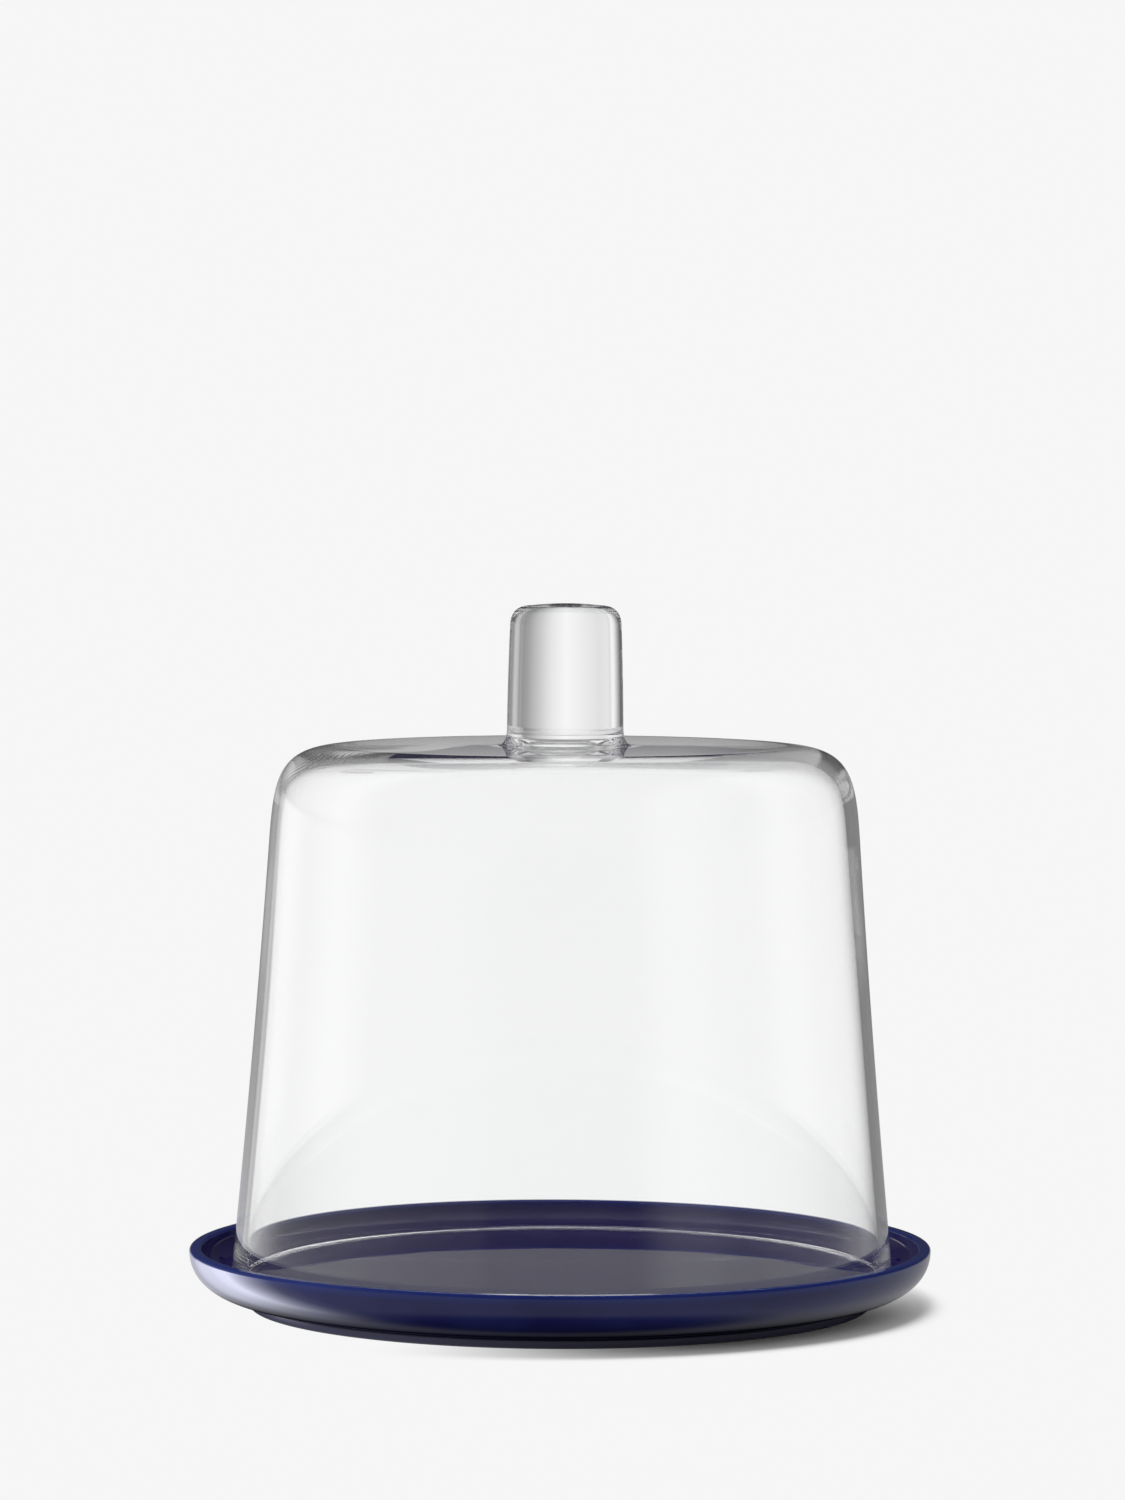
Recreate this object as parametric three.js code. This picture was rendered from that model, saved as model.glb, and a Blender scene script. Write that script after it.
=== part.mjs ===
// A glass cake dome: a tall blown-glass cover with a solid knob, standing in a glazed ceramic plate.
// Millimetres, +Z up. The origin is the middle of the plate's foot, on the surface it stands on.
// Every piece is turned about the Z axis, so each one is drawn as half of its section.
import * as THREE from 'three';

// Cover: the bell
const coverRadius = 133.7; // outside of the bell at its rim
const coverHeight = 213; // rim to the top of the crown
const bellWall = 3.5; // side wall
const crownThickness = 4.5;
const rimRound = 1.4; // melted edges on both sides of the rim's flat land
const shoulderRadius = 119.4; // outside of the side wall where the shoulder starts
const shoulderDrop = 40; // crown top down to the start of the shoulder
const shoulderRise = 26.5; // how far the wall's line runs on into the shoulder curve
const wallFlare = 1.3; // hollow of the side wall, which opens out towards the rim
const crownRadius = 90; // flat part of the crown
const crownRun = 26.3; // how far the crown's line runs on into the shoulder curve

// Cover: the knob
const knobRadius = 23.5; // just above the flared foot
const knobTopRadius = 22.5; // just below the rounded top
const knobHeight = 57.5; // crown to the middle of the top
const knobCorner = 8.5; // size of the rounded top edge
const knobCrown = 0.8; // rise of the top from its edge to its middle
const flareWidth = 3.2; // how far the foot of the knob spreads on the crown
const flareHeight = 14;
const flareBend = 3; // height where the side and the slope of the foot's edge would cross

// Plate
const floorHeight = 13.5; // table to the floor that the cover stands on
const floorThickness = 8;
const wellDepth = 10.5; // floor to the top of the lip
const rimClearance = 2.8; // between the cover's rim and the start of the well's curve
const wellCurve = 8.5; // width of the curve from the floor up to the lip
const lipThickness = 5; // fully rounded
const bellyRun = 12; // how far the underside runs out before it turns up
const bellyRise = 11; // how far the outside runs down from the lip before it turns in
const footInset = 24; // outside of the lip to the outside of the foot ring
const footWidth = 7;
const footHeight = 4.5;
const footFillet = 1.8; // foot ring into the underside
const footEdge = 1; // rounded edges of the ring's flat land
const recessFillet = 2; // foot ring into the recessed base

// Smoothness, in counts
const wideFacets = 64; // round the plate and the bell
const knobFacets = 48;
const longCurveSteps = 10; // along a long curve of a section
const shortCurveSteps = 6;
const cornerSteps = 3;

// Sizes that follow from the ones above
const floorRadius = coverRadius + rimClearance;
const lipInside = floorRadius + wellCurve;
const plateRadius = lipInside + lipThickness;
const plateHeight = floorHeight + wellDepth;

// Stretches of a section, from points given as a radius and a height
const at = (radius, height) => new THREE.Vector2(radius, height);

function curved(from, corner, to, steps) {
  return new THREE.QuadraticBezierCurve(from, corner, to).getPoints(steps);
}

function swept(from, leaving, arriving, to, steps) {
  return new THREE.CubicBezierCurve(from, leaving, arriving, to).getPoints(steps);
}

// Part of an ellipse, its two ends given in half turns from the outward direction
function arc(centre, width, height, start, end, steps) {
  const clockwise = end < start;
  const ellipse = new THREE.EllipseCurve(
    centre.x, centre.y, width, height, start * Math.PI, end * Math.PI, clockwise);
  return ellipse.getPoints(steps);
}

// A section starts and ends on the axis, with the material on its left, and is turned about Z.
function turned(name, stretches, facets, material) {
  const samePlace = 1e-6;
  const section = stretches.flat();
  const outline = section.filter((point, i) => i === 0 || point.distanceTo(section[i - 1]) > samePlace);
  const geometry = new THREE.LatheGeometry(outline, facets);
  geometry.rotateX(Math.PI / 2);
  const mesh = new THREE.Mesh(geometry, material);
  mesh.name = name;
  return mesh;
}

// The plate: a recessed base inside a foot ring, a rounded belly, a full-round lip and a flat floor
function makePlate() {
  const baseHeight = floorHeight - floorThickness;
  const footRadius = plateRadius - footInset;
  const footInside = footRadius - footWidth;
  const bellyStart = footRadius + footFillet;
  const lipRound = lipThickness / 2;
  const lipCentre = at(lipInside + lipRound, plateHeight - lipRound);
  const recessCentre = at(footInside - recessFillet, baseHeight - recessFillet);
  const recess = [
    at(0, baseHeight),
    ...arc(recessCentre, recessFillet, recessFillet, 0.5, 0, cornerSteps),
  ];
  const footRing = [
    ...arc(at(footInside + footEdge, footEdge), footEdge, footEdge, 1, 1.5, cornerSteps),
    ...arc(at(footRadius - footEdge, footEdge), footEdge, footEdge, 1.5, 2, cornerSteps),
    ...arc(at(bellyStart, footHeight - footFillet), footFillet, footFillet, 1, 0.5, cornerSteps),
  ];
  const belly = swept(
    at(bellyStart, footHeight),
    at(bellyStart + bellyRun, footHeight),
    at(plateRadius, lipCentre.y - bellyRise),
    at(plateRadius, lipCentre.y),
    longCurveSteps);
  const lip = arc(lipCentre, lipRound, lipRound, 0, 1, longCurveSteps);
  const well = arc(
    at(floorRadius, lipCentre.y), wellCurve, lipCentre.y - floorHeight, 0, -0.5, shortCurveSteps);
  const floor = [at(0, floorHeight)];
  const glaze = new THREE.MeshStandardMaterial({ color: '#1b1f57', roughness: 0.12, metalness: 0 });
  return turned('plate', [recess, footRing, belly, lip, well, floor], wideFacets, glaze);
}

const clearGlass = {
  color: '#eef1f0', roughness: 0.03, metalness: 0, transparent: true, opacity: 0.3,
};

// The bell, from the middle of its ceiling down the inside and up the outside. The inside is the
// outside moved in by the wall and down by the crown, which leaves the glass thickest at the shoulder.
function makeBell() {
  const leastLand = 0.1; // share of the wall that stays flat on the rim, between its round edges
  const edge = Math.min(rimRound, bellWall * (1 - leastLand) / 2);
  const rimInside = coverRadius - bellWall;

  // From the rim up a slightly hollow wall, over the shoulder and along the flat of the crown
  function wallLine(moveIn, moveDown) {
    const rim = at(coverRadius - moveIn, edge);
    const shoulder = at(shoulderRadius - moveIn, coverHeight - shoulderDrop - moveDown);
    const waist = rim.clone().add(shoulder).divideScalar(2);
    waist.x -= wallFlare;
    const lean = shoulder.clone().sub(waist).setLength(shoulderRise);
    const crown = at(crownRadius - moveIn, coverHeight - moveDown);
    return [
      ...curved(rim, waist, shoulder, shortCurveSteps),
      ...swept(shoulder, shoulder.clone().add(lean), at(crown.x + crownRun, crown.y), crown, longCurveSteps),
      at(0, crown.y),
    ];
  }

  const rim = [
    ...arc(at(rimInside + edge, edge), edge, edge, 1, 1.5, cornerSteps),
    ...arc(at(coverRadius - edge, edge), edge, edge, 1.5, 2, cornerSteps),
  ];
  const inside = wallLine(bellWall, crownThickness).reverse();
  const outside = wallLine(0, 0);
  const glass = new THREE.MeshStandardMaterial(clearGlass);
  return turned('glass_bell', [inside, rim, outside], wideFacets, glass);
}

// The knob, solid glass from the crown up: a foot flared onto the crown, a slightly tapered side and
// a rounded edge round a softly domed top
function makeKnob() {
  const footRadius = knobRadius + flareWidth;
  const topEdge = knobHeight - knobCrown;
  const cornerFoot = at(knobTopRadius, topEdge - knobCorner);
  const cornerEnd = at(knobTopRadius - knobCorner, topEdge);
  const foot = [
    at(0, 0),
    ...curved(at(footRadius, 0), at(knobRadius, flareBend), at(knobRadius, flareHeight), shortCurveSteps),
  ];
  const corner = curved(cornerFoot, at(knobTopRadius, topEdge), cornerEnd, shortCurveSteps);
  const top = curved(cornerEnd, at(cornerEnd.x / 2, knobHeight), at(0, knobHeight), cornerSteps);
  const glass = new THREE.MeshStandardMaterial(clearGlass);
  return turned('glass_handle', [foot, corner, top], knobFacets, glass);
}

const knob = makeKnob();
knob.position.z = coverHeight;

const cover = new THREE.Group();
cover.name = 'cover';
cover.position.z = floorHeight;
cover.add(makeBell(), knob);

const cakeDome = new THREE.Group();
cakeDome.name = 'cake_dome';
cakeDome.add(makePlate(), cover);

export default cakeDome;
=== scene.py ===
import math

import bpy
import numpy as np
from mathutils import Matrix, Vector


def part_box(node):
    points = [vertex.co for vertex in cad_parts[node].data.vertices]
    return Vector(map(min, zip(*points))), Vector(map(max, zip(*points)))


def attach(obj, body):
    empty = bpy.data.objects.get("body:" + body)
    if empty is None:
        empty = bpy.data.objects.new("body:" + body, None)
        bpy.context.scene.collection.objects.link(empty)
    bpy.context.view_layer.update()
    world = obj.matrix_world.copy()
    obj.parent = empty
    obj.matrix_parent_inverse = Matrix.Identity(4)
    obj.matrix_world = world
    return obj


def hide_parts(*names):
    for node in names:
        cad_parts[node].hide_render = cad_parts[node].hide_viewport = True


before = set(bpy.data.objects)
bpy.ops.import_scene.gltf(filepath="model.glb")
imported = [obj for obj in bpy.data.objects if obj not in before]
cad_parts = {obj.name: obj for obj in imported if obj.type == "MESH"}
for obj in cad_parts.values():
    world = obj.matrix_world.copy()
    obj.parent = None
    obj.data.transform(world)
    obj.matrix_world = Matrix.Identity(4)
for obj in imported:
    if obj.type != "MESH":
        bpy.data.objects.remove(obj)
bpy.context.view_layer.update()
scene = bpy.context.scene
print("frame loaded:", ", ".join(sorted(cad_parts)))

_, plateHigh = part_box("plate")
bellLow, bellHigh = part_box("glass_bell")
_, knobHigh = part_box("glass_handle")


# Outlines, as arrays of radius and height

def bezier(corners, count):
    # slides between neighbouring corners, round after round, until one point is left for each step
    step = np.linspace(0, 1, count)[:, None, None]
    points = np.array(corners, float)[None]
    while points.shape[1] > 1:
        points = points[:, :-1] * (1 - step) + points[:, 1:] * step
    return points[:, 0]


def arc(centre, size, start, end, count):
    # part of an ellipse: centre plus size times the cosine and sine of angles from start to end, in degrees
    angle = np.radians(np.linspace(start, end, count))
    return np.array(centre) + np.array(size) * np.stack([np.cos(angle), np.sin(angle)], axis=1)


def straight(first, last, count):
    return bezier([first, last], count)


def joined(*stretches):
    # one outline, without the points that two stretches share
    outline = np.concatenate(stretches)
    gap = np.linalg.norm(np.diff(outline, axis=0), axis=1)
    return outline[np.concatenate([[True], gap > 1e-7])]


def turnedMesh(name, outline, turns, shift):
    # a lathe surface: every outline point goes round the axis, then shift(radius, height, angle) gives
    # the small moves of a hand-made piece; the outline's two ends lie on the axis and close as fans
    rings = outline[1:-1]
    angle = np.linspace(0, 2 * np.pi, turns, endpoint=False)[None]
    radius = np.repeat(rings[:, :1], turns, axis=1)
    height = np.repeat(rings[:, 1:], turns, axis=1)
    grown, sideways, raised = shift(radius, height, angle)
    x = (radius + grown) * np.cos(angle) + sideways
    y = (radius + grown) * np.sin(angle)
    z = height + raised
    ends = outline[[0, -1]][:, None]
    _, endSideways, endRaised = shift(ends[..., 0], ends[..., 1], np.zeros((1, 1)))
    poles = np.concatenate([ends[..., 0] + endSideways, np.zeros((2, 1)), ends[..., 1] + endRaised], axis=1)
    points = np.concatenate([np.stack([x, y, z], axis=-1).reshape(-1, 3), poles])

    index = np.arange(rings.shape[0] * turns).reshape(rings.shape[0], turns)
    nextRound = np.roll(index, -1, axis=1)
    quads = np.stack([index[:-1], index[1:], nextRound[1:], nextRound[:-1]], axis=-1).reshape(-1, 4)
    firstPole = np.full(turns, index.size)
    lastPole = firstPole + 1
    firstFan = np.stack([firstPole, index[0], nextRound[0]], axis=-1)
    lastFan = np.stack([index[-1], lastPole, nextRound[-1]], axis=-1)
    faces = firstFan.tolist() + quads.tolist() + lastFan.tolist()

    mesh = bpy.data.meshes.new(name)
    mesh.from_pydata(points.tolist(), [], faces)
    mesh.polygons.foreach_set("use_smooth", np.ones(len(faces), bool))
    mesh.update()
    piece = bpy.data.objects.new(name, mesh)
    scene.collection.objects.link(piece)
    return piece


# Shader maths

class Wire:
    # one output of a shader node; sums and products of wires add Math nodes
    def __init__(self, tree, socket=None):
        self.tree = tree
        self.socket = socket

    def node(self, kind, settings, sockets, outlet=0):
        # settings come first; a new ramp already has two stops, and more are added as they are needed
        made = self.tree.nodes.new(kind)
        for key, value in settings.items():
            if key == "stops":
                elements = made.color_ramp.elements
                for place, (position, shade) in enumerate(value):
                    stop = elements[place] if place < 2 else elements.new(position)
                    stop.position = position
                    stop.color = shade
            else:
                setattr(made, key, value)
        for key, value in sockets.items():
            if isinstance(value, Wire):
                self.tree.links.new(value.socket, made.inputs[key])
            else:
                made.inputs[key].default_value = value
        return Wire(self.tree, made.outputs[outlet])

    def maths(self, operation, *values):
        return self.node("ShaderNodeMath", {"operation": operation}, dict(enumerate(values)))

    def __add__(self, other):
        return self.maths("ADD", self, other)

    def __radd__(self, other):
        return self.maths("ADD", other, self)

    def __sub__(self, other):
        return self.maths("SUBTRACT", self, other)

    def __rsub__(self, other):
        return self.maths("SUBTRACT", other, self)

    def __mul__(self, other):
        return self.maths("MULTIPLY", self, other)

    def __rmul__(self, other):
        return self.maths("MULTIPLY", other, self)

    def __truediv__(self, other):
        return self.maths("DIVIDE", self, other)

    def __pow__(self, other):
        return self.maths("POWER", self, other)

    def __gt__(self, other):
        return self.maths("GREATER_THAN", self, other)

    def __lt__(self, other):
        return self.maths("LESS_THAN", self, other)

    def ramp(self, start, end):
        # goes softly from 0 at start to 1 at end
        limits = {"Value": self, "From Min": start, "From Max": end}
        return self.node("ShaderNodeMapRange", {"interpolation_type": "SMOOTHSTEP"}, limits)

    def mix(self, first, second):
        # a colour that goes from first to second as this wire goes from 0 to 1
        colours = {"Factor": self, "A": first, "B": second}
        return self.node("ShaderNodeMix", {"data_type": "RGBA"}, colours, "Result")


def colour(red, green, blue):
    return (red, green, blue, 1.0)


def grey(level):
    return (level, level, level, 1.0)


def newMaterial(name):
    material = bpy.data.materials.new(name)
    material.use_nodes = True
    material.node_tree.nodes.clear()
    return material, Wire(material.node_tree)


def output(sheet, shader, kind="ShaderNodeOutputMaterial"):
    made = sheet.tree.nodes.new(kind)
    sheet.tree.links.new(shader.socket, made.inputs["Surface"])


def objectCoordinates(sheet):
    place = sheet.node("ShaderNodeTexCoord", {}, {}, "Object")
    return place, [sheet.node("ShaderNodeSeparateXYZ", {}, {0: place}, axis) for axis in "XYZ"]


# Camera, as the photograph was taken

photoCamera = {
    "distance": 2.3948,
    "height": 0.3426,
    "aside": 0.00064,
    "lookDown": 2.817,  # degrees
    "roll": 0.13,
    "sensor": 36,  # millimetres, the picture's long side
    "lens": 142.4,
    "farthest": 500,  # how far it sees, past the edge of the floor
}

cameraData = bpy.data.cameras.new("camera")
cameraData.sensor_width = photoCamera["sensor"]
cameraData.lens = photoCamera["lens"]
cameraData.clip_end = photoCamera["farthest"]
camera = bpy.data.objects.new("camera", cameraData)
pitch = Matrix.Rotation(math.radians(90 - photoCamera["lookDown"]), 4, "X")
roll = Matrix.Rotation(math.radians(photoCamera["roll"]), 4, "Z")
place = Matrix.Translation((photoCamera["aside"], -photoCamera["distance"], photoCamera["height"]))
camera.matrix_world = place @ pitch @ roll
scene.collection.objects.link(camera)
scene.camera = camera
print("camera placed")


# Studio: pale backdrop for the eye and through the glass, a grey room in reflections

studio = {
    "backdrop": 0.9216,
    "throughGlass": 1.04,  # the same backdrop seen through two walls, which take some light
    "fill": 0.6,  # light from all round on matt surfaces
    "keyLight": 1.26,
    "keySpread": 26,  # degrees across
    "keyAzimuth": -90,  # from straight behind, to the right
    "keyElevation": 88,
    "shadowAzimuth": 131,  # the side where the floor keeps its shadow
    "shadowFrom": 0.15,  # cosine of the angle from that side, where the shadow starts
    "whiteMirrored": 0.93,  # pale parts of the room in reflections
    "dimLeft": 0.20,  # the room above the horizon
    "dimRight": 0.04,
    "frontInside": 0.06,  # the room in front, mirrored under the cover
    "highInside": 0.21,  # the room behind, mirrored under the cover
    "whiteBelow": 0.09,  # rise of a direction under which straight behind is white there
    "rightBelow": 0.1,  # and under which the right is partly white
    "rightShare": 0.3,
    "farRightLoss": 0.5,  # how much of the white on the right is gone at its far end
    "crownBand": 0.40,  # the room high behind, mirrored inside the glass of the crown
    "ceiling": 4.0,  # light from above that the glass rim catches
    "lipStreak": 2.2,  # narrow light high behind that the plate's lip catches
    "tableNear": 0.02,  # the table right below
    "shadeLevel": 0.01,  # the table under the plate, in reflections
    "shadeInside": 0.128,
    "shadeEdge": 0.150,
    "floorSize": 120.0,
    "floorNear": 0.146,  # from here to floorFar the floor's shadow fades out
    "floorFar": 0.160,
    "bounces": 160,  # light caught in the glass of the crown is mirrored many times before it gets out
    "bouncesThrough": 32,
}

# soft edges between those tones, each from its start to its end, in parts of a direction of length one
roomEdges = {
    "behind": (-0.2, 0.3),
    "horizon": (0.05, 0.08),
    "horizonBehind": (0.0, 0.05),
    "straightBehind": (0.4, 0.5),
    "dimSide": (-0.8, -0.4),
    "table": (0.07, 0.14),
    "tableNear": (0.75, 0.95),
    "glowFade": (0.45, 0.9),
    "whiteRight": (0.45, 0.7),
    "whiteFarRight": (0.8, 0.95),
    "wallHigh": (0.06, 0.12),
    "wallLow": (0.2, 0.35),
    "wallLeft": (-0.1, -0.02),
    "crownHigh": (0.04, 0.10),
    "crownWide": (0.35, 0.5),
    "coverBehind": (0.94, 0.98),
    "coverHigh": (0.16, 0.2),
    "streakLow": (0.175, 0.185),
    "streakHigh": (0.24, 0.25),
    "streakWide": (0.012, 0.032),
    "ceiling": (0.3, 0.5),
}

# tones by azimuth, from straight behind to the right: the room through the solid knob, the room mirrored
# near the horizon, the table mirrored, and the light patch on it, which has a tint
roomBehind = {
    -180: 0.95, -112: 0.8, -98: 0.35, -90: 0.2, -75: 0.07, -66: 0.12, -56: 0.5, -46: 1.0, -42: 1.0,
    -39.5: 0.78, -36: 0.86, -26: 0.80, -15: 0.88, 0: 1.0, 9: 0.86, 18: 0.62, 30: 0.36, 37: 0.30,
    39: 0.38, 42: 0.32, 46: 0.55, 52: 0.6, 59: 0.22, 66: 0.1, 75: 0.06, 90: 0.2, 98: 0.35,
    112: 0.8, 180: 0.95,
}
roomMirrored = {
    -180: 0.08, -130: 0.3, -100: 0.5, -64: 0.5, -46: 0.93, -29: 0.93, -27.5: 0.3, -25: 0.4, -21: 0.55,
    -17: 0.5, -13: 0.4, -9: 0.28, -6: 0.14, 6: 0.14, 9: 0.2, 12: 0.28, 20: 0.3, 26: 0.2, 44: 0.2,
    100: 0.22, 130: 0.15, 180: 0.08,
}
tableMirrored = {-180: 0.38, -91: 0.4, 0: 0.4, 40: 0.5, 68: 0.5, 108: 0.44, 180: 0.38}
tableGlow = {
    -180: 0.0, -150: 0.03, -111: 0.1, -91: 0.1, -80: 0.5, -72: 2.0, -54: 6.0, -40: 3.0, -20: 0.6, 0: 0.0,
}
glowTint = (0.97, 0.98, 1.15)


def aim(azimuth, elevation):
    # the direction from the object to a place in the room: azimuth from straight behind, to the right
    turn = math.radians(azimuth)
    rise = math.radians(elevation)
    return Vector((math.sin(turn) * math.cos(rise), math.cos(turn) * math.cos(rise), math.sin(rise)))


def rayKinds(sheet):
    # whether a ray was mirrored, mirrored inside a glass wall, mirrored under the cover, mirrored in
    # the rim of its far side, went straight through the cover, or went only through solid glass;
    # depth counts the glass surfaces that it went through, two for a wall
    mirrored = sheet.node("ShaderNodeLightPath", {}, {}, "Glossy Depth") > 0.5
    through = sheet.node("ShaderNodeLightPath", {}, {}, "Is Transmission Ray") * (1 - mirrored)
    depth = sheet.node("ShaderNodeLightPath", {}, {}, "Transmission Depth")
    inWall = mirrored * (depth > 0.5) * (depth < 2.5)
    inCover = mirrored * (depth > 2.5)
    inRim = mirrored * (depth > 4.5) * (depth < 7.5)
    solid = through * (1 - (depth > 2.5) * (depth < 5.5))
    return {
        "mirrored": mirrored, "inWall": inWall, "inCover": inCover, "inRim": inRim,
        "through": through, "solid": solid,
    }


def panorama(sheet, x, y, tones, tint=(1, 1, 1)):
    # tones round the horizon on a ramp that starts and ends straight in front
    turn = x.maths("ARCTAN2", x, y) / (2 * math.pi) + 0.5
    stops = []
    for azimuth, tone in tones.items():
        stops.append((azimuth / 360 + 0.5, colour(*[tone * share for share in tint])))
    return sheet.node("ShaderNodeValToRGB", {"stops": stops}, {"Fac": turn})


def makeWorld():
    # what a ray sees of the room depends on how it met the glass
    world = bpy.data.worlds.new("studio_room")
    world.use_nodes = True
    world.node_tree.nodes.clear()
    sheet = Wire(world.node_tree)
    isCamera = sheet.node("ShaderNodeLightPath", {}, {}, "Is Camera Ray")
    isDiffuse = sheet.node("ShaderNodeLightPath", {}, {}, "Is Diffuse Ray")
    rays = rayKinds(sheet)
    direction = sheet.node("ShaderNodeTexCoord", {}, {}, "Generated")
    x, y, z = [sheet.node("ShaderNodeSeparateXYZ", {}, {0: direction}, axis) for axis in "XYZ"]
    white = grey(studio["whiteMirrored"])
    behind = y.ramp(*roomEdges["behind"])
    down = 0 - z
    aside = x.maths("ABSOLUTE", x)
    # the table, with a light patch on the left
    tableTone = panorama(sheet, x, y, tableMirrored)
    plain = down.ramp(*roomEdges["tableNear"]).mix(tableTone, grey(studio["tableNear"]))
    glowTone = panorama(sheet, x, y, tableGlow, glowTint)
    glow = down.ramp(*roomEdges["glowFade"]).mix(glowTone, grey(0))
    table = sheet.node("ShaderNodeMix", {"data_type": "RGBA", "blend_type": "ADD"},
                       {"Factor": 1.0, "A": plain, "B": glow}, "Result")
    # mirrored on the outside: tones round the horizon, dim above it and sooner straight behind
    dim = x.ramp(*roomEdges["dimSide"]).mix(grey(studio["dimLeft"]), grey(studio["dimRight"]))
    tones = panorama(sheet, x, y, roomMirrored)
    high = z.ramp(*roomEdges["horizon"])
    highBehind = (1 - aside.ramp(*roomEdges["straightBehind"])) * z.ramp(*roomEdges["horizonBehind"])
    high = high.maths("MAXIMUM", high, highBehind)
    room = high.mix(tones, dim)
    room = down.ramp(*roomEdges["table"]).mix(room, table)
    # mirrored inside a wall: the tones of its edges, white from high and low on the left, grey in the crown
    rightWhite = x.ramp(*roomEdges["whiteRight"])
    rightWhite = rightWhite * (1 - studio["farRightLoss"] * x.ramp(*roomEdges["whiteFarRight"]))
    steep = z.ramp(*roomEdges["wallHigh"]) + down.ramp(*roomEdges["wallLow"])
    steep = steep * behind * (1 - x.ramp(*roomEdges["wallLeft"]))
    wallView = steep.mix(rightWhite.mix(tones, white), white)
    rising = z.ramp(*roomEdges["crownHigh"]) * behind * (1 - aside.ramp(*roomEdges["crownWide"]))
    wallView = rising.mix(wallView, grey(studio["crownBand"]))
    room = rays["inWall"].mix(room, wallView)
    # mirrored under the cover: white straight behind and below, grey higher up, dark above that and in
    # front, and a narrow bright streak that the front of the lip catches
    backWhite = y.ramp(*roomEdges["coverBehind"]) * (z < studio["whiteBelow"])
    backWhite = backWhite.maths("MAXIMUM", backWhite, z < 0)
    rightPart = rightWhite * (z < studio["rightBelow"]) * studio["rightShare"]
    backWhite = backWhite.maths("MAXIMUM", backWhite, rightPart)
    plainInside = z.ramp(*roomEdges["coverHigh"]).mix(grey(studio["highInside"]), grey(studio["frontInside"]))
    underCover = backWhite.mix(plainInside, white)
    underCover = behind.mix(grey(studio["frontInside"]), underCover)
    inBand = z.ramp(*roomEdges["streakLow"]) * (1 - z.ramp(*roomEdges["streakHigh"]))
    streak = (1 - aside.ramp(*roomEdges["streakWide"])) * behind * inBand
    underCover = streak.mix(underCover, grey(studio["lipStreak"]))
    room = rays["inCover"].mix(room, underCover)
    room = (rays["inRim"] * z.ramp(*roomEdges["ceiling"])).mix(room, grey(studio["ceiling"]))
    # what the knob shows, also to rays that are mirrored below it and pass the clear card behind it
    knobView = panorama(sheet, x, y, roomBehind)
    pastCard = sheet.node("ShaderNodeLightPath", {}, {}, "Transparent Depth") > 0.5
    belowKnob = (rays["inWall"] + rays["inCover"]) * pastCard * (z > 0)
    room = belowKnob.mix(room, knobView)
    lit = isDiffuse.mix(room, grey(studio["fill"]))
    backdrop = rays["through"].mix(grey(studio["backdrop"]), grey(studio["throughGlass"]))
    seen = (isCamera + rays["through"]).mix(lit, rays["solid"].mix(backdrop, knobView))
    shader = sheet.node("ShaderNodeBackground", {}, {"Color": seen})
    output(sheet, shader, "ShaderNodeOutputWorld")
    world.cycles.sampling_method = "NONE"
    scene.world = world


def makeFloor():
    # to the eye a pale table that keeps a shadow on one side; clear to other rays, so that they see the
    # world below it, apart from a dark round under the plate, painted shade in place of the shaded table
    half = studio["floorSize"] / 2
    corners = [(-half, -half, 0), (half, -half, 0), (half, half, 0), (-half, half, 0)]
    mesh = bpy.data.meshes.new("floor")
    mesh.from_pydata(corners, [], [(0, 1, 2, 3)])
    floor = bpy.data.objects.new("floor", mesh)
    scene.collection.objects.link(floor)
    material, sheet = newMaterial("pale_floor")
    _, (x, y, _) = objectCoordinates(sheet)
    rays = rayKinds(sheet)
    pale = grey(studio["backdrop"])
    away = (x * x + y * y) ** 0.5
    far = away.ramp(studio["floorNear"], studio["floorFar"])
    lee = aim(studio["shadowAzimuth"], 0)
    litSide = 1 - ((x * lee.x + y * lee.y) / away).ramp(studio["shadowFrom"], 1.0)
    matt = sheet.node("ShaderNodeBsdfDiffuse", {}, {"Color": pale})
    shine = sheet.node("ShaderNodeEmission", {}, {"Color": pale})
    table = sheet.node("ShaderNodeMixShader", {}, {0: far.maths("MAXIMUM", far, litSide), 1: matt, 2: shine})
    clear = sheet.node("ShaderNodeBsdfTransparent", {}, {})
    # painted shade: a dark round under the plate, shown only to mirrored rays
    dark = sheet.node("ShaderNodeBsdfDiffuse", {}, {"Color": grey(studio["shadeLevel"])})
    below = rays["mirrored"] * (1 - away.ramp(studio["shadeInside"], studio["shadeEdge"]))
    unseen = sheet.node("ShaderNodeMixShader", {}, {0: below, 1: clear, 2: dark})
    indirect = rays["mirrored"] + rays["through"]
    output(sheet, sheet.node("ShaderNodeMixShader", {}, {0: indirect, 1: table, 2: unseen}))
    mesh.materials.append(material)


def makeKeyLight():
    # a soft sun almost overhead that isn't seen in mirrors or through glass
    light = bpy.data.lights.new("key_light", "SUN")
    light.energy = studio["keyLight"]
    light.angle = math.radians(studio["keySpread"])
    lamp = bpy.data.objects.new("key_light", light)
    lamp.rotation_mode = "QUATERNION"
    lamp.rotation_quaternion = aim(studio["keyAzimuth"], studio["keyElevation"]).to_track_quat("Z", "Y")
    lamp.visible_glossy = False
    lamp.visible_transmission = False
    scene.collection.objects.link(lamp)


backPanel = {
    "distance": 1.0,
    "halfWidth": 0.16,
    "narrowFrom": 0.06,  # half width where it starts to fade out
    "bottom": 0.264,
    "top": 0.305,
    "lowLevel": 0.12,
    "midLevel": 0.58,
    "midHeight": 0.290,  # where the middle level is reached
}

knobCard = {
    "distance": 0.16,
    "halfWidth": 0.09,
    "bottom": 0.230,
    "top": 0.40,
}


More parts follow.
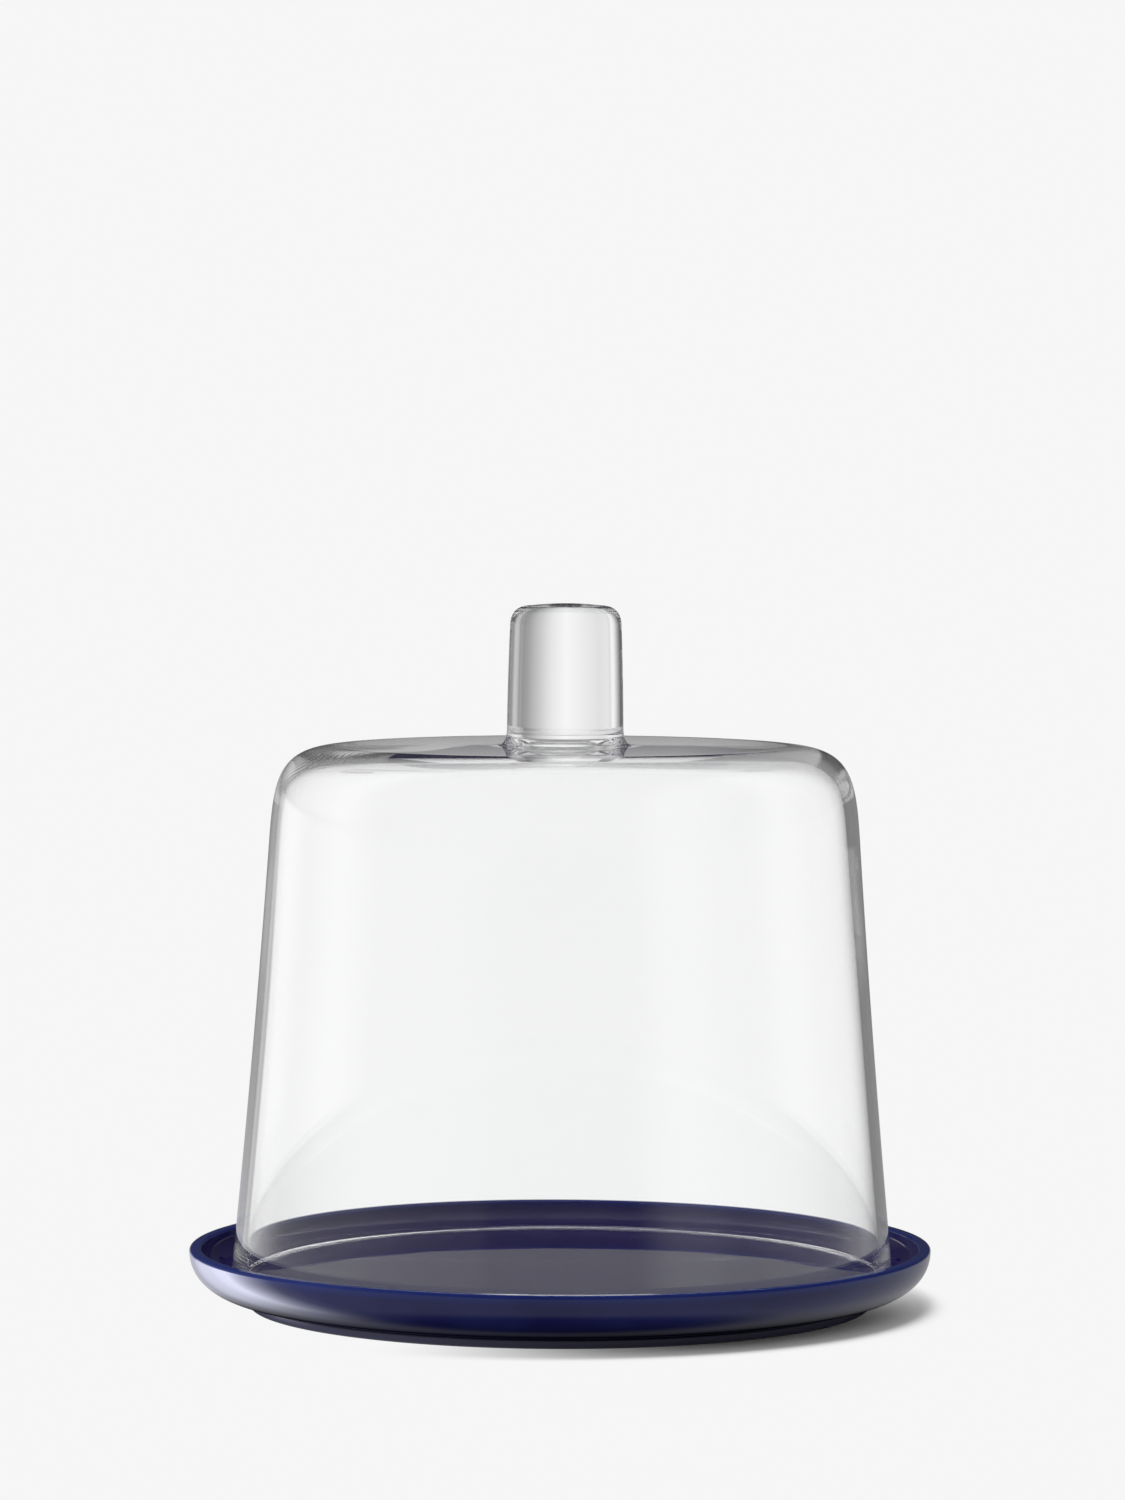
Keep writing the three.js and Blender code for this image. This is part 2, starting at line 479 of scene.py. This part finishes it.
def makeCard(name, shape):
    # an upright card behind the object that neither the eye nor matt surfaces see
    wide = shape["halfWidth"]
    low, high = shape["bottom"], shape["top"]
    y = shape["distance"]
    mesh = bpy.data.meshes.new(name)
    mesh.from_pydata([(-wide, y, low), (wide, y, low), (wide, y, high), (-wide, y, high)], [], [(0, 1, 2, 3)])
    card = bpy.data.objects.new(name, mesh)
    scene.collection.objects.link(card)
    card.visible_camera = False
    card.visible_diffuse = False
    card.visible_shadow = False
    material, sheet = newMaterial(name)
    material.cycles.emission_sampling = "NONE"
    mesh.materials.append(material)
    return card, sheet


def shineWhere(sheet, shown, level):
    # light where shown is 1, clear elsewhere
    light = sheet.node("ShaderNodeEmission", {}, {"Color": level})
    clear = sheet.node("ShaderNodeBsdfTransparent", {}, {})
    output(sheet, sheet.node("ShaderNodeMixShader", {}, {0: shown, 1: clear, 2: light}))


def makeBackPanel():
    # a pale panel mirrored on the outside of the glass
    panel, sheet = makeCard("back_panel", backPanel)
    _, (x, _, z) = objectCoordinates(sheet)
    rays = rayKinds(sheet)
    rise = z.ramp(backPanel["bottom"], backPanel["midHeight"])
    level = rise.mix(grey(backPanel["lowLevel"]), grey(backPanel["midLevel"]))
    outside = rays["mirrored"] * (1 - rays["inWall"]) * (1 - rays["inCover"])
    narrow = 1 - x.maths("ABSOLUTE", x).ramp(backPanel["narrowFrom"], backPanel["halfWidth"])
    shineWhere(sheet, outside * narrow, level)
    return panel


def lightOnly(lamp, piece):
    # a light that one piece alone receives
    lit = bpy.data.collections.new("lit_by_" + lamp.name)
    lit.objects.link(piece)
    lamp.light_linking.receiver_collection = lit


def makeKnobCard():
    # a clear card: rays mirrored by the crown under the knob pass it and then see what the knob sees
    card, sheet = makeCard("knob_card", knobCard)
    output(sheet, sheet.node("ShaderNodeBsdfTransparent", {}, {}))


makeWorld()
makeFloor()
makeKeyLight()
panel = makeBackPanel()
makeKnobCard()
scene.view_settings.view_transform = "Standard"
scene.cycles.max_bounces = studio["bounces"]
scene.cycles.glossy_bounces = studio["bounces"]
scene.cycles.transmission_bounces = studio["bouncesThrough"]
print("studio lit")


# Plate

plateShape = {
    "floorHeight": bellLow.z,
    "floorRadius": 0.1365,
    "radius": plateHigh.x,
    "top": plateHigh.z,
    "lipThickness": 0.005,
    "lipRound": 0.0013,  # both edges of its flat crest
    "lipSlope": 2.0,  # degrees, the crest falls outward
    "bellyRun": 0.012,
    "bellyRise": 0.011,
    "footRadius": 0.126,
    "footWidth": 0.007,
    "footHeight": 0.0045,
    "footFillet": 0.0018,
    "footEdge": 0.001,
    "baseHeight": 0.0055,
    "recessFillet": 0.002,
    "turns": 384,
}


def plateOutline(shape):
    # floor, well, lip, belly, foot ring and recessed base, each with its number of points last
    bend = shape["lipRound"]
    lipInside = shape["radius"] - shape["lipThickness"]
    lipWidth = shape["lipThickness"] - 2 * bend
    inner = np.array([lipInside + bend, shape["top"] - bend])
    outer = inner + lipWidth * np.array([1, -math.tan(math.radians(shape["lipSlope"]))])
    crest = 90 - shape["lipSlope"]
    lift = bend * np.array([math.cos(math.radians(crest)), math.sin(math.radians(crest))])
    wellSize = (lipInside - shape["floorRadius"], inner[1] - shape["floorHeight"])
    bellyStart = shape["footRadius"] + shape["footFillet"]
    footInside = shape["footRadius"] - shape["footWidth"]
    edge = shape["footEdge"]
    fillet = shape["footFillet"]
    recess = shape["recessFillet"]
    return joined(
        straight((0, shape["floorHeight"]), (shape["floorRadius"], shape["floorHeight"]), 36),
        arc((shape["floorRadius"], inner[1]), wellSize, 270, 360, 28),
        arc(inner, (bend, bend), 180, crest, 16),
        straight(inner + lift, outer + lift, 8),
        arc(outer, (bend, bend), crest, 0, 16),
        bezier([
            (shape["radius"], outer[1]),
            (shape["radius"], outer[1] - shape["bellyRise"]),
            (bellyStart + shape["bellyRun"], shape["footHeight"]),
            (bellyStart, shape["footHeight"]),
        ], 56),
        arc((bellyStart, shape["footHeight"] - fillet), (fillet, fillet), 90, 180, 10),
        arc((shape["footRadius"] - edge, edge), (edge, edge), 0, -90, 8),
        arc((footInside + edge, edge), (edge, edge), 270, 180, 8),
        arc((footInside - recess, shape["baseHeight"] - recess), (recess, recess), 0, 90, 10),
        straight((footInside - recess, shape["baseHeight"]), (0, shape["baseHeight"]), 16),
    )


clayWaves = {
    "oval": 0.00018,  # out of round, twice round the plate
    "ovalTurn": 0.7,  # where a wave starts, in radians
    "ripple": 0.00010,  # five times round
    "rippleTurn": 2.1,
    "warp": 0.00022,  # up and down, three times round
    "warpTurn": 1.2,
}


def glazedShift(radius, height, angle):
    # fired clay is never quite round: waves round the rim that fade to nothing at the middle
    share = (radius / plateShape["radius"]) ** 2
    grown = clayWaves["oval"] * share * np.sin(2 * angle + clayWaves["ovalTurn"])
    grown = grown + clayWaves["ripple"] * share * np.sin(5 * angle + clayWaves["rippleTurn"])
    above = np.clip((height - plateShape["footHeight"]) / plateShape["top"], 0, 1)
    raised = clayWaves["warp"] * share * above * np.sin(3 * angle + clayWaves["warpTurn"])
    return grown, 0 * radius, raised


blueGlaze = {
    "deep": colour(0.008, 0.011, 0.064),
    "thin": colour(0.012, 0.025, 0.150),
    "pooled": colour(0.005, 0.006, 0.048),
    "inside": colour(0.012, 0.007, 0.060),
    # painted shade: the lower belly and undercut darkened in the colour
    "below": colour(0.002, 0.002, 0.010),
    # painted reflection: the foot ring lighter, for the lit table that it mirrors
    "foot": colour(0.048, 0.048, 0.080),
    "clay": colour(0.10, 0.095, 0.10),
    "innerEdge": 0.002,  # width of the change from the inside's tone to the lip's
    "floorMargin": 0.0005,
    "thinFrom": 0.001,  # the glaze is thin from here to thinReach, measured from the lip
    "thinReach": 0.005,
    "belowFrom": 0.004,  # heights between which the belly darkens, painted shade
    "belowTo": 0.0155,
    "footFrom": 0.0025,  # and the foot ring gets a painted reflection, a lighter tone
    "footTo": 0.0038,
    "bareFrom": 0.0003,  # and below which the clay is bare
    "bareTo": 0.0006,
    "clouds": (38.0, 4.0),  # scale and detail of each noise
    "grain": (900.0, 2.0),
    "swells": (24.0, 1.0),
    "pooling": (0.3, 0.7),  # levels of the clouds between which pooled glaze turns into deep glaze
    "insideShare": 0.8,  # how much of the inside's tone shows, and what the clouds add to it
    "insideClouds": 0.3,
    "thinShare": 0.55,  # the same where the glaze is thin
    "thinClouds": 0.4,
    "roughness": 0.012,
    "grainRoughness": 0.03,
    "bareRoughness": 0.7,
    "swellHeight": 0.3,  # shares of the bump
    "cloudHeight": 0.01,
    "bumpStrength": 0.5,
    "bumpDistance": 0.0008,
    "refraction": 1.52,
}


def makeGlaze():
    # clouded blue, thin on the lip and bare on the foot's land; painted shade darkens the lower belly and a
    # painted reflection lightens the foot ring
    material, sheet = newMaterial("blue_glaze")
    place, (x, y, z) = objectCoordinates(sheet)
    radius = (x * x + y * y) ** 0.5

    def noise(scale, detail):
        return sheet.node("ShaderNodeTexNoise", {}, {"Vector": place, "Scale": scale, "Detail": detail})

    cloud = noise(*blueGlaze["clouds"])
    grain = noise(*blueGlaze["grain"])
    swell = noise(*blueGlaze["swells"])
    lipRadius = plateShape["radius"] - plateShape["lipThickness"] / 2
    lipGap = ((radius - lipRadius) ** 2 + (z - plateShape["top"]) ** 2) ** 0.5
    thin = 1 - lipGap.ramp(blueGlaze["thinFrom"], blueGlaze["thinReach"])
    mottled = cloud.ramp(*blueGlaze["pooling"]).mix(blueGlaze["pooled"], blueGlaze["deep"])
    inner = 1 - radius.ramp(lipRadius - blueGlaze["innerEdge"], lipRadius)
    inner = inner * (z > plateShape["floorHeight"] - blueGlaze["floorMargin"])
    insideAmount = inner * (blueGlaze["insideShare"] + blueGlaze["insideClouds"] * cloud)
    mottled = insideAmount.mix(mottled, blueGlaze["inside"])
    # painted shade: the belly darker towards the foot, under its own overhang
    low = (1 - z.ramp(blueGlaze["belowFrom"], blueGlaze["belowTo"])) * (1 - inner)
    mottled = low.mix(mottled, blueGlaze["below"])
    # painted reflection: the foot ring lighter, standing in for the lit table that it mirrors
    foot = (1 - z.ramp(blueGlaze["footFrom"], blueGlaze["footTo"])) * (1 - inner)
    mottled = foot.mix(mottled, blueGlaze["foot"])
    thinAmount = thin * (blueGlaze["thinShare"] + blueGlaze["thinClouds"] * cloud)
    glazed = thinAmount.mix(mottled, blueGlaze["thin"])
    bare = 1 - z.ramp(blueGlaze["bareFrom"], blueGlaze["bareTo"])
    base = bare.mix(glazed, blueGlaze["clay"])
    rough = blueGlaze["roughness"] + blueGlaze["grainRoughness"] * grain * cloud
    rough = rough + blueGlaze["bareRoughness"] * bare
    normal = sheet.node("ShaderNodeBump", {}, {
        "Strength": blueGlaze["bumpStrength"], "Distance": blueGlaze["bumpDistance"],
        "Height": swell * blueGlaze["swellHeight"] + cloud * blueGlaze["cloudHeight"]})
    shader = sheet.node("ShaderNodeBsdfPrincipled", {}, {
        "Base Color": base, "Roughness": rough, "Normal": normal, "IOR": blueGlaze["refraction"]})
    output(sheet, shader)
    return material


plate = turnedMesh("glazed_plate", plateOutline(plateShape), plateShape["turns"], glazedShift)
plate.data.materials.append(makeGlaze())
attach(plate, "plate")
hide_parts("plate")
print("plate turned:", len(plate.data.polygons), "faces")

sideLight = {
    "place": (-0.42, -0.08, 0.07),
    "width": 0.30,
    "height": 0.10,
    "power": 1.0,
}


def makeSideLight():
    # a low pale card close to the plate's left that lights the plate alone
    light = bpy.data.lights.new("side_light", "AREA")
    light.shape = "RECTANGLE"
    light.size = sideLight["width"]
    light.size_y = sideLight["height"]
    light.energy = sideLight["power"]
    lamp = bpy.data.objects.new("side_light", light)
    lamp.location = sideLight["place"]
    lamp.rotation_mode = "QUATERNION"
    lamp.rotation_quaternion = Vector(sideLight["place"]).to_track_quat("Z", "Y")
    lamp.visible_glossy = False
    lamp.visible_transmission = False
    scene.collection.objects.link(lamp)
    lightOnly(lamp, plate)


makeSideLight()
print("side light placed")


# Glass cover: bell and knob are one piece of glass, joined hot

coverShape = {
    "rim": bellLow.z,
    "crown": bellHigh.z,
    "rimRadius": bellHigh.x,
    "wall": 0.0020,
    "crownThickness": 0.0016,
    "rimRound": 0.00095,
    "shoulderRadius": 0.1194,
    "shoulderDrop": 0.040,
    "shoulderRise": 0.0265,
    "wallFlare": 0.0013,
    "crownRadius": 0.090,
    "crownRun": 0.0263,
    "flatInside": 0.0002,  # how much further the flat reaches inside
    "knobTop": knobHigh.z,
    "knobRadius": 0.0235,
    "knobTopRadius": 0.0225,
    "knobSwell": 0.0003,
    "knobCorner": 0.0085,
    "knobCrown": 0.0008,
    "flareRadius": knobHigh.x,
    "flareHeight": 0.0075,
    "flareBend": 0.0012,
    "hollowHeight": 0.0045,  # hollow in the ceiling, under the knob
    "hollowRadius": 0.0195,
    "hollowEdge": 12,  # a higher power makes its side steeper
    "hollowSide": 0.3,  # share of its radius, to each side of it, that gets most of the points
    "footMelt": 0.0006,  # soft edge where the knob's foot runs into the crown
    "turns": 264,
    "restGap": 0.00005,  # between the rim and the plate's floor
    "blendPoints": 16,  # points of the outline over which the outside passes into the inside
    "oval": 0.00016,  # out of round, twice round the cover
    "ovalTurn": 0.4,  # where a wave starts, in radians
    "ripple": 0.00008,  # three times round
    "rippleTurn": 1.9,
    "aside": 0.0008,  # how far the rim stands off the plate's middle
    "lean": 0.0011,  # how much further the knob's top is aside
    "thickSide": 0.0002,  # the inside is off centre to the right, so the left side is thicker
    "thickShoulder": 0.0008,  # and moves to the left between two heights, so the right shoulder is
    "thickFrom": 0.100,
    "thickTo": 0.205,
    "ovalInside": 0.0018,  # the inside is narrower across than from front to back
    "sagInside": 0.0018,  # how far the inside hangs down in the left and right shoulders
    "sagFrom": 0.170,  # height where that starts
    "rimBead": 0.0006,  # the melted rim is thicker, towards the inside
    "beadHeight": 0.004,
}


def coverOutline(shape):
    # from the middle of the knob's top down the outside, round the rim and up the inside to the middle of
    # the ceiling; also gives the number of points on the outside
    rim = shape["rim"]
    crown = shape["crown"]
    edge = shape["rimRound"]

    def wallLine(moveIn, moveDown):
        # from the rim up a slightly hollow wall, over the shoulder and onto the flat of the crown
        low = np.array([shape["rimRadius"] - moveIn, rim + edge])
        shoulder = np.array([shape["shoulderRadius"] - moveIn, crown - shape["shoulderDrop"]])
        waist = (low + shoulder) / 2 - np.array([shape["wallFlare"], 0])
        lean = shoulder - waist
        lean *= shape["shoulderRise"] / np.linalg.norm(lean) * (1 - moveDown / shape["shoulderDrop"])
        reach = shape["flatInside"] if moveDown > 0 else 0
        top = np.array([shape["crownRadius"] + reach, crown - moveDown])
        along = np.array([shape["crownRun"] * (1 - moveIn / (low[0] + moveIn - top[0])), 0])
        return joined(
            bezier([low, waist, shoulder], 44),
            bezier([shoulder, shoulder + lean, top + along, top], 44),
        )

    rimInside = shape["rimRadius"] - shape["wall"]
    ceiling = crown - shape["crownThickness"]
    topEdge = shape["knobTop"] - shape["knobCrown"]
    cornerEnd = (shape["knobTopRadius"] - shape["knobCorner"], topEdge)
    cornerFoot = (shape["knobTopRadius"], topEdge - shape["knobCorner"])
    flareTop = (shape["knobRadius"], crown + shape["flareHeight"])
    flareCorner = (shape["knobRadius"], crown + shape["flareBend"])
    flareEnd = (shape["flareRadius"], crown)
    middle = (shape["knobTopRadius"] + shape["knobRadius"]) / 2 + shape["knobSwell"]
    swell = (middle, (cornerFoot[1] + flareTop[1]) / 2)
    flare = bezier([flareTop, flareCorner, flareEnd], 24)
    melt = shape["footMelt"]
    meltStart = flare[np.linalg.norm(flare - flareEnd, axis=1) > melt]
    meltEnd = (shape["flareRadius"] + melt, crown)
    outside = wallLine(0, 0)[::-1]
    inside = wallLine(shape["wall"], shape["crownThickness"])
    upper = joined(
        bezier([(0, shape["knobTop"]), (cornerEnd[0] / 2, shape["knobTop"]), cornerEnd], 14),
        bezier([cornerEnd, (shape["knobTopRadius"], topEdge), cornerFoot], 22),
        bezier([cornerFoot, swell, flareTop], 24),
        meltStart,
        bezier([meltStart[-1], flareEnd, meltEnd], 8),
        straight(meltEnd, outside[0], 14),
        outside,
    )
    rimEdge = joined(
        arc((shape["rimRadius"] - edge, rim + edge), (edge, edge), 0, -90, 9),
        arc((rimInside + edge, rim + edge), (edge, edge), 270, 180, 9),
    )
    side = shape["hollowRadius"]
    hollowStart = side * (1 + shape["hollowSide"])
    hollowEnd = side * (1 - shape["hollowSide"])
    across = np.concatenate([
        np.linspace(inside[-1][0], hollowStart, 16),
        np.linspace(hollowStart, hollowEnd, 48),
        np.linspace(hollowEnd, 0, 8),
    ])
    rise = shape["hollowHeight"] * np.exp(-(across / side) ** shape["hollowEdge"])
    lower = joined(inside, np.stack([across, ceiling + rise], axis=1))
    outline = joined(upper, rimEdge, lower)
    outline[:, 1] += shape["restGap"]
    return outline, len(upper)


coverLine, outsideCount = coverOutline(coverShape)
coverRings = coverLine[1:-1]
insideShare = np.clip((np.arange(len(coverLine)) - outsideCount) / coverShape["blendPoints"], 0, 1)


def softStep(share):
    # goes softly from 0 to 1, held at both ends
    share = np.clip(share, 0, 1)
    return share ** 2 * (3 - 2 * share)


def blownShift(radius, height, angle):
    # blown glass: slightly out of round, leaning a little, its inside oval and off centre, lower in two
    # shoulders and drawn in at the melted rim
    span = coverShape["knobTop"] - coverShape["rim"]
    up = (height - coverShape["rim"]) / span
    wide = radius / coverShape["rimRadius"]
    grown = coverShape["oval"] * wide * np.sin(2 * angle + coverShape["ovalTurn"])
    grown = grown + coverShape["ripple"] * wide * np.sin(3 * angle + coverShape["rippleTurn"])
    share = insideShare[1:-1, None] if len(radius) == len(coverRings) else insideShare[[0, -1], None]
    upWall = (height - coverShape["thickFrom"]) / (coverShape["thickTo"] - coverShape["thickFrom"])
    offCentre = coverShape["thickSide"] - coverShape["thickShoulder"] * softStep(upWall)
    grown = grown - coverShape["ovalInside"] * share * np.minimum(wide, 1) * np.cos(angle) ** 2
    fromRim = (height - coverShape["rim"]) / coverShape["beadHeight"]
    grown = grown - coverShape["rimBead"] * share * np.exp(-fromRim ** 2)
    sideways = coverShape["aside"] + coverShape["lean"] * up + offCentre * share
    upShoulder = (height - coverShape["sagFrom"]) / (coverShape["crown"] - coverShape["sagFrom"])
    sag = softStep(upShoulder) * softStep(radius / coverShape["crownRadius"])
    raised = -coverShape["sagInside"] * share * sag * np.cos(angle) ** 2
    return grown, sideways, raised


clearGlass = {
    "tinted": colour(0.985, 0.990, 0.988),
    "clear": colour(0.998, 0.999, 0.998),
    "smearScale": 14.0,
    "smearDetail": 3.0,
    "refraction": 1.5,
}


def makeGlass():
    # smooth clear glass with a faint uneven tint
    material, sheet = newMaterial("clear_glass")
    place, _ = objectCoordinates(sheet)
    smear = sheet.node("ShaderNodeTexNoise", {}, {
        "Vector": place, "Scale": clearGlass["smearScale"], "Detail": clearGlass["smearDetail"]})
    tint = smear.mix(clearGlass["tinted"], clearGlass["clear"])
    shader = sheet.node("ShaderNodeBsdfPrincipled", {}, {
        "Base Color": tint, "Roughness": 0.0, "IOR": clearGlass["refraction"], "Transmission Weight": 1.0})
    output(sheet, shader)
    return material


cover = turnedMesh("glass_cover", coverLine, coverShape["turns"], blownShift)
cover.data.materials.append(makeGlass())
# matt surfaces don't see the glass, and it casts no shadow on them
cover.visible_diffuse = False
cover.visible_shadow = False
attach(cover, "cover")
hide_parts("glass_bell", "glass_handle")
lightOnly(panel, cover)
print("glass cover blown:", len(cover.data.polygons), "faces")
